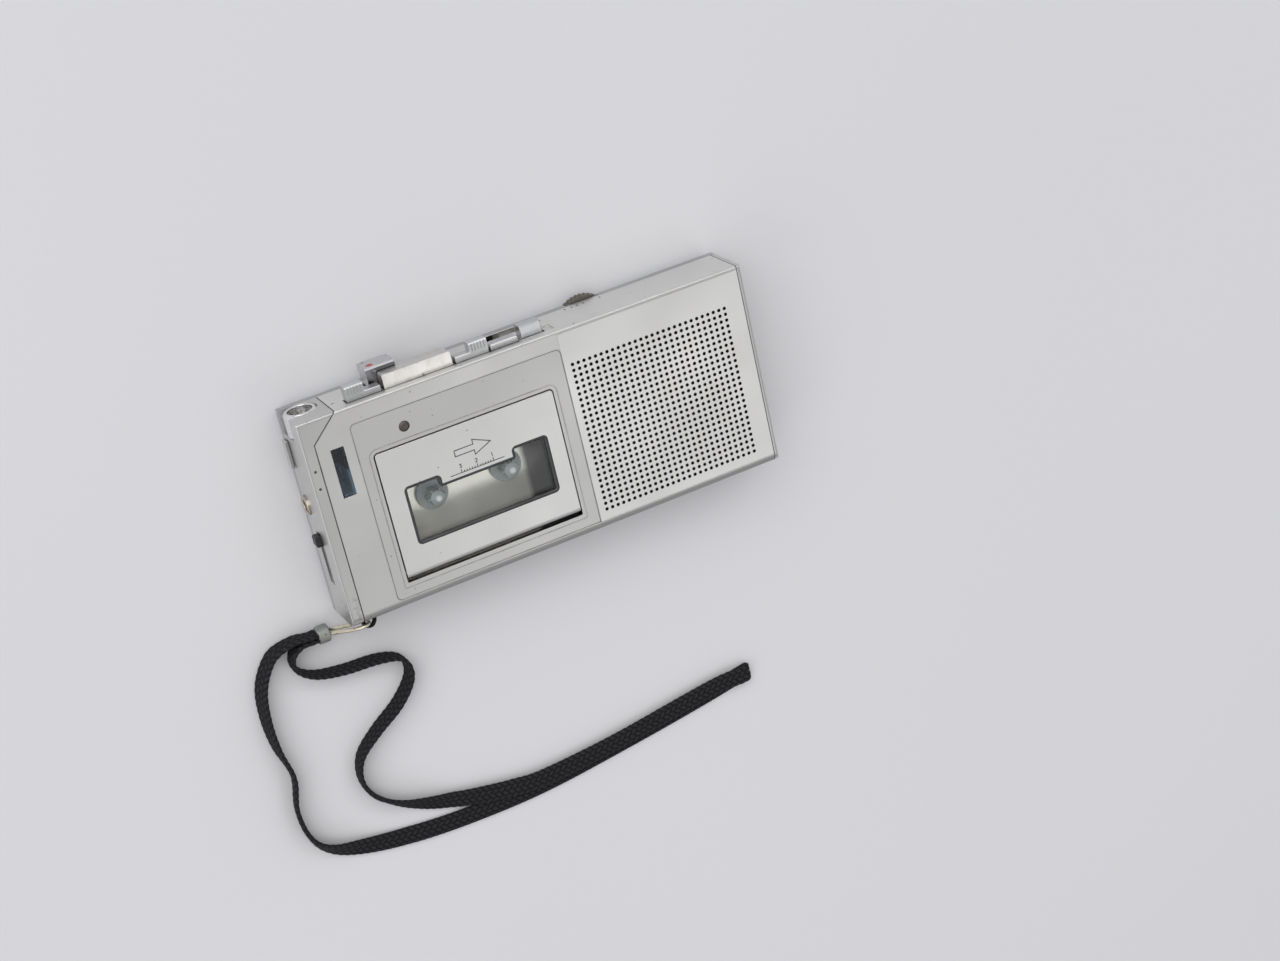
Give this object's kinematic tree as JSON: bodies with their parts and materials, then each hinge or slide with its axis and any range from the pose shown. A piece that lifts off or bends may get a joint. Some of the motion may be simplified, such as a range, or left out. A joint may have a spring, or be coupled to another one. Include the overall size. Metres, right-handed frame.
{
  "type": "dictation machine",
  "caption": "Handheld microcassette dictation machine with side keys, hinged cassette door, perforated speaker front, volume wheel and a wrist strap.",
  "frame": {"origin": "centre of the back face, which lies on the table", "axes": "+X along the case to the speaker end, +Y to the key side, +Z out of the front"},
  "size_m": [0.1605, 0.1475, 0.0211],
  "materials": {
    "case_metal": "satin silver",
    "panel_metal": "brushed satin",
    "grille_metal": "satin, perforated",
    "rear_plastic": "dark silver grey",
    "cap_plastic": "silver painted",
    "bright_metal": "bright",
    "dark_mesh": "black",
    "clear_window": "clear acrylic",
    "smoked_window": "smoked acrylic",
    "black_plastic": "black",
    "grey_plastic": "grey",
    "pointer_red": "red",
    "lamp_red": "clear red",
    "key_chrome": "satin chrome",
    "brass": "plain",
    "steel": "plated",
    "rubber": "matt",
    "board": "laminate",
    "cone_paper": "matt",
    "cloth": "black",
    "cell_jacket": "plain wrapper, no marks",
    "strap_black": "flat braid"
  },
  "bodies": {
    "case": {"front_case": "case_metal", "front_panel": "panel_metal", "speaker_grille": "grille_metal", "rear_cover": "rear_plastic", "mic_end_cap": "cap_plastic", "speaker_end_plate": "cap_plastic", "mic_barrel": "bright_metal", "mic_mesh": "dark_mesh", "door_hinge_pin": "steel", "meter_window": "smoked_window", "level_meter": "black_plastic", "record_lamp": "lamp_red", "jack_bushing": "brass", "jack_housing": "black_plastic", "chassis_plate": "steel", "thrust_bracket": "steel", "drive_motor": "steel", "drive_belt": "rubber", "main_board": "board", "volume_board": "board", "speaker_frame": "steel", "speaker_cone": "cone_paper", "dust_cloth": "cloth", "battery_cell_1": "cell_jacket", "battery_cell_2": "cell_jacket", "battery_contacts": "steel", "case_screws": "steel", "chassis_screws": "steel", "strap_pin": "steel", "strap_loop": "strap_black", "strap_clip": "brass", "strap_sleeve": "bright_metal", "wrist_strap": "strap_black"},
    "door": {"cassette_door": "panel_metal", "door_window": "clear_window", "cassette_holder": "steel"},
    "play": {"play_key": "key_chrome"},
    "bridge": {"head_bridge": "steel", "record_play_head": "steel", "erase_head": "black_plastic"},
    "roller": {"pinch_roller": "rubber"},
    "rec": {"rec_key": "key_chrome"},
    "rewind": {"rewind_key": "key_chrome"},
    "forward": {"forward_key": "key_chrome"},
    "stop": {"stop_key": "key_chrome"},
    "eject": {"eject_slide": "key_chrome"},
    "volume": {"volume_wheel": "black_plastic"},
    "mic_sens": {"mic_sens_switch": "cap_plastic"},
    "speed": {"speed_switch": "black_plastic"},
    "lid": {"battery_lid": "rear_plastic"},
    "pointer": {"meter_pointer": "pointer_red"},
    "supply": {"supply_spindle": "grey_plastic"},
    "takeup": {"takeup_spindle": "grey_plastic"},
    "capstan": {"flywheel": "brass", "capstan_shaft": "steel"},
    "pulley": {"motor_pulley": "brass"},
    "idler": {"idler_wheel": "rubber"}
  },
  "joints": [
    {"name": "door_hinge", "type": "hinge", "parent": "case", "child": "door", "pos_m": [-0.0219, -0.02095, 0.0192], "axis": [1, 0, 0], "range_deg": [0, 38]},
    {"name": "play_press", "type": "slide", "parent": "case", "child": "play", "axis": [0, -1, 0], "range_m": [0, 0.0025]},
    {"name": "bridge_slide", "type": "slide", "parent": "case", "child": "bridge", "axis": [0, -1, 0], "range_m": [0, 0.0025]},
    {"name": "pinch_spin", "type": "hinge", "parent": "bridge", "child": "roller", "pos_m": [-0.0125, 0.0146, 0.0135], "axis": [0, 0, 1], "continuous": true},
    {"name": "rec_press", "type": "slide", "parent": "case", "child": "rec", "axis": [0, -1, 0], "range_m": [0, 0.0025]},
    {"name": "rewind_press", "type": "slide", "parent": "case", "child": "rewind", "axis": [0, -1, 0], "range_m": [0, 0.002], "stiffness_N_per_m": 300, "springref_m": -0.0008},
    {"name": "forward_press", "type": "slide", "parent": "case", "child": "forward", "axis": [0, -1, 0], "range_m": [0, 0.002], "stiffness_N_per_m": 300, "springref_m": -0.0008},
    {"name": "stop_press", "type": "slide", "parent": "case", "child": "stop", "axis": [0, -1, 0], "range_m": [0, 0.0016], "stiffness_N_per_m": 300, "springref_m": -0.0008},
    {"name": "eject_push", "type": "slide", "parent": "case", "child": "eject", "axis": [1, 0, 0], "range_m": [0, 0.003], "stiffness_N_per_m": 250, "springref_m": -0.0008},
    {"name": "volume_turn", "type": "hinge", "parent": "case", "child": "volume", "pos_m": [0.0246, 0.0227, 0.0031], "axis": [0, 0, 1], "range_deg": [0, 270]},
    {"name": "mic_sens_slide", "type": "slide", "parent": "case", "child": "mic_sens", "axis": [0, -1, 0], "range_m": [0, 0.005]},
    {"name": "speed_slide", "type": "slide", "parent": "case", "child": "speed", "axis": [0, -1, 0], "range_m": [0, 0.011]},
    {"name": "lid_slide", "type": "slide", "parent": "case", "child": "lid", "axis": [1, 0, 0], "range_m": [0, 0.012]},
    {"name": "meter_swing", "type": "hinge", "parent": "case", "child": "pointer", "pos_m": [-0.0572, 0.0132, 0.0137], "axis": [-1, 0, 0], "range_deg": [0, 80], "stiffness_Nm_per_rad": 0.000001, "springref_deg": -17.19},
    {"name": "supply_spin", "type": "hinge", "parent": "case", "child": "supply", "pos_m": [-0.0326, -0.0056, 0.01], "axis": [0, 0, 1], "continuous": true},
    {"name": "capstan_spin", "type": "hinge", "parent": "case", "child": "capstan", "pos_m": [-0.0125, 0.0086, 0.005], "axis": [0, 0, 1], "continuous": true},
    {"name": "takeup_spin", "type": "hinge", "parent": "case", "child": "takeup", "pos_m": [-0.0104, -0.0056, 0.01], "axis": [0, 0, 1], "continuous": true},
    {"name": "pulley_spin", "type": "hinge", "parent": "case", "child": "pulley", "pos_m": [-0.00075, 0.0194, 0.005], "axis": [0, 0, 1], "continuous": true},
    {"name": "idler_spin", "type": "hinge", "parent": "case", "child": "idler", "pos_m": [-0.01157, 0.00229, 0.0074], "axis": [0, 0, 1], "continuous": true}
  ],
  "couplings": [
    {"joint": "bridge_slide", "follows": "play_press", "ratio": 1},
    {"joint": "takeup_spin", "follows": "capstan_spin", "ratio": 0.619},
    {"joint": "pulley_spin", "follows": "capstan_spin", "ratio": 6.122},
    {"joint": "idler_spin", "follows": "capstan_spin", "ratio": -0.7033}
  ]
}
